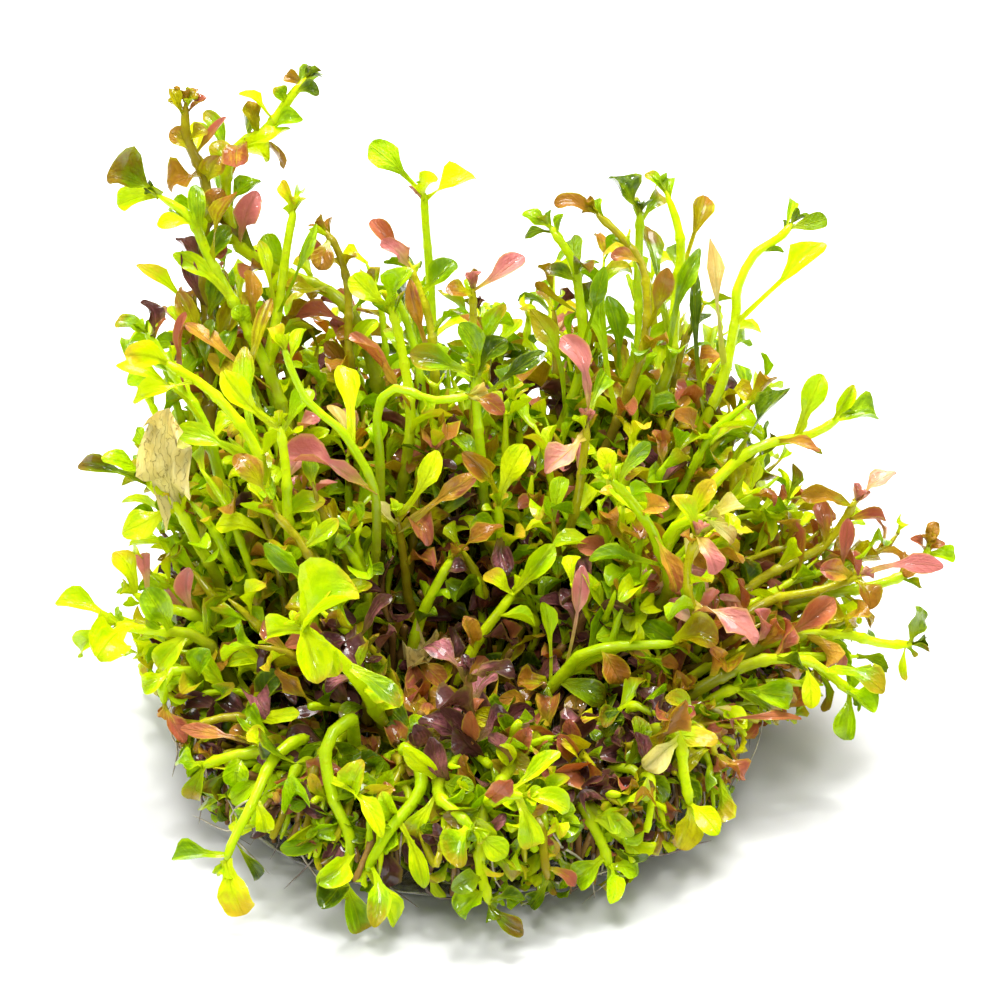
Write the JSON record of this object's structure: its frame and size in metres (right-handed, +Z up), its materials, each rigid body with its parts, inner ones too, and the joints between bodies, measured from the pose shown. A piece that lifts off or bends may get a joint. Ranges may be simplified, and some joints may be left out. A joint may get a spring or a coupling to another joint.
{
  "type": "rotala aquatic plant clump on culture gel",
  "caption": "Dense clump of leafy aquatic plant shoots that lean outwards from a low round puck of clear culture gel with a flat underside.",
  "frame": {"origin": "centre of the gel puck's flat underside, on the surface that it stands on", "axes": "+Z up out of the gel, -Y towards the viewer (the side where the shoots flop over the gel's edge), +X to the viewer's right"},
  "size_m": [0.0975, 0.0855, 0.0666],
  "materials": {
    "gel": "clear wet culture gel, slightly hazy",
    "leaf_lime": "fresh yellow-green leaf and stem, satin to wet",
    "leaf_green": "mid to dark green leaf and stem, satin to wet",
    "leaf_olive": "olive-brown leaf and stem, satin",
    "leaf_rust": "rust to salmon-pink leaf on a green stem, satin",
    "leaf_mauve": "old mauve to purple-brown leaf, wet"
  },
  "bodies": {
    "root": {"gel_puck": "gel", "low_sprig_1": "leaf_mauve", "low_sprig_2": "leaf_mauve", "low_sprig_3": "leaf_mauve", "shoot_back_118": "leaf_green", "shoot_back_55": "leaf_green", "shoot_back_88": "leaf_green", "shoot_beige_star": "leaf_lime", "shoot_bright_paddle": "leaf_lime", "shoot_brown_top_left": "leaf_rust", "shoot_centre_fan": "leaf_green", "shoot_centre_lime_left": "leaf_lime", "shoot_centre_lime_right": "leaf_lime", "shoot_centre_upright": "leaf_olive", "shoot_drooping_left": "leaf_lime", "shoot_far_back_pads": "leaf_lime", "shoot_far_right": "leaf_green", "shoot_front_bright_left": "leaf_lime", "shoot_front_bright_right": "leaf_lime", "shoot_front_crown": "leaf_lime", "shoot_front_dark_pads": "leaf_green", "shoot_front_loop_left": "leaf_lime", "shoot_front_loop_right": "leaf_lime", "shoot_front_right_pads": "leaf_green", "shoot_front_small_leaf": "leaf_olive", "shoot_inner_runner": "leaf_lime", "shoot_left_hanging": "leaf_lime", "shoot_left_high_sprig": "leaf_green", "shoot_left_high_stem": "leaf_lime", "shoot_left_low_rosette": "leaf_lime", "shoot_left_middle": "leaf_green", "shoot_left_upright_blade": "leaf_lime", "shoot_lime_runner": "leaf_lime", "shoot_lime_trumpet": "leaf_lime", "shoot_low_left_arm": "leaf_green", "shoot_middle_right_lime": "leaf_lime", "shoot_middle_rosette": "leaf_green", "shoot_needle_fork": "leaf_lime", "shoot_olive_blade": "leaf_olive", "shoot_olive_hooks": "leaf_olive", "shoot_pink_centre": "leaf_rust", "shoot_pink_top": "leaf_rust", "shoot_right_arch": "leaf_lime", "shoot_right_drop": "leaf_green", "shoot_right_front_lime": "leaf_lime", "shoot_right_hook": "leaf_green", "shoot_right_long_arm": "leaf_lime", "shoot_right_low_rust": "leaf_rust", "shoot_right_pair": "leaf_green", "shoot_right_rust_star": "leaf_rust", "shoot_right_rust_tip": "leaf_rust", "shoot_rose_blade": "leaf_rust", "shoot_tall_left": "leaf_olive", "shoot_tall_left_arm": "leaf_lime", "shoot_tall_right_arm": "leaf_green", "shoot_top_arch": "leaf_olive", "shoot_top_curls": "leaf_green", "shoot_top_right": "leaf_green", "shoot_top_right_pad": "leaf_green", "shoot_upper_right": "leaf_lime"}
  },
  "joints": []
}
